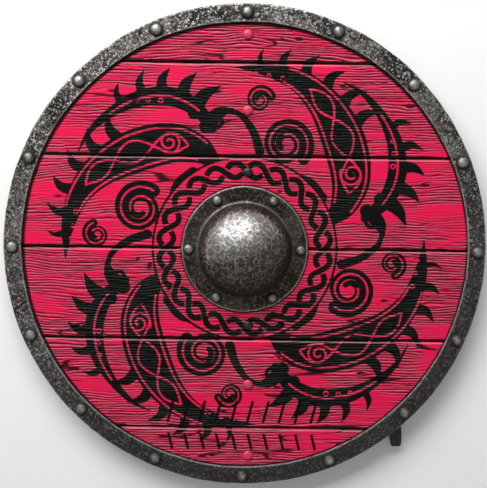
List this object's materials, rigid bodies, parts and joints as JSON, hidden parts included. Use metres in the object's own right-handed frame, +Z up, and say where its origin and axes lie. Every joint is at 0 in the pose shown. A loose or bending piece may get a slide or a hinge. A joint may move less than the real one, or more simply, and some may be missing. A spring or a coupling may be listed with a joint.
{
  "type": "round shield",
  "caption": "Round plank shield with a steel edge band, a central iron boss over the hand hole, a rear batten grip and a leather carrying strap.",
  "frame": {"origin": "on the surface that the shield lies on, under the middle of the disc", "axes": "+Z up and out of the front face, along the boss's axis; +Y towards the shield's top, across the planks; +X to the right along the planks, seen from the front"},
  "size_m": [0.61, 0.61, 0.0826],
  "materials": {
    "painted_boards": "worn rose red paint over open grain, with black painted knotwork",
    "rim_steel": "hammered, blackened and worn",
    "rivet_steel": "blackened, worn bright on the crown",
    "boss_iron": "hammered, blackened and waxed",
    "bare_wood": "oiled softwood",
    "painted_nails": "painted over with the boards",
    "strap_leather": "dark oiled"
  },
  "bodies": {
    "root": {"board_1": "painted_boards", "board_2": "painted_boards", "board_3": "painted_boards", "board_4": "painted_boards", "board_5": "painted_boards", "board_6": "painted_boards", "rim": "rim_steel", "rim_rivet_01": "rivet_steel", "rim_rivet_02": "rivet_steel", "rim_rivet_03": "rivet_steel", "rim_rivet_04": "rivet_steel", "rim_rivet_05": "rivet_steel", "rim_rivet_06": "rivet_steel", "rim_rivet_07": "rivet_steel", "rim_rivet_08": "rivet_steel", "rim_rivet_09": "rivet_steel", "rim_rivet_10": "rivet_steel", "rim_rivet_11": "rivet_steel", "rim_rivet_12": "rivet_steel", "rim_rivet_13": "rivet_steel", "rim_rivet_14": "rivet_steel", "rim_rivet_15": "rivet_steel", "rim_rivet_16": "rivet_steel", "boss": "boss_iron", "boss_rivet_1": "rivet_steel", "boss_rivet_2": "rivet_steel", "boss_rivet_3": "rivet_steel", "boss_rivet_4": "rivet_steel", "boss_rivet_5": "rivet_steel", "boss_rivet_6": "rivet_steel", "batten": "bare_wood", "batten_nail_1": "painted_nails", "batten_nail_2": "painted_nails", "batten_nail_3": "painted_nails", "batten_nail_4": "painted_nails", "batten_nail_5": "painted_nails", "batten_nail_6": "painted_nails", "strap": "strap_leather", "strap_tack_1": "rivet_steel", "strap_tack_2": "rivet_steel", "strap_tack_3": "rivet_steel", "strap_tack_4": "rivet_steel"}
  },
  "joints": []
}
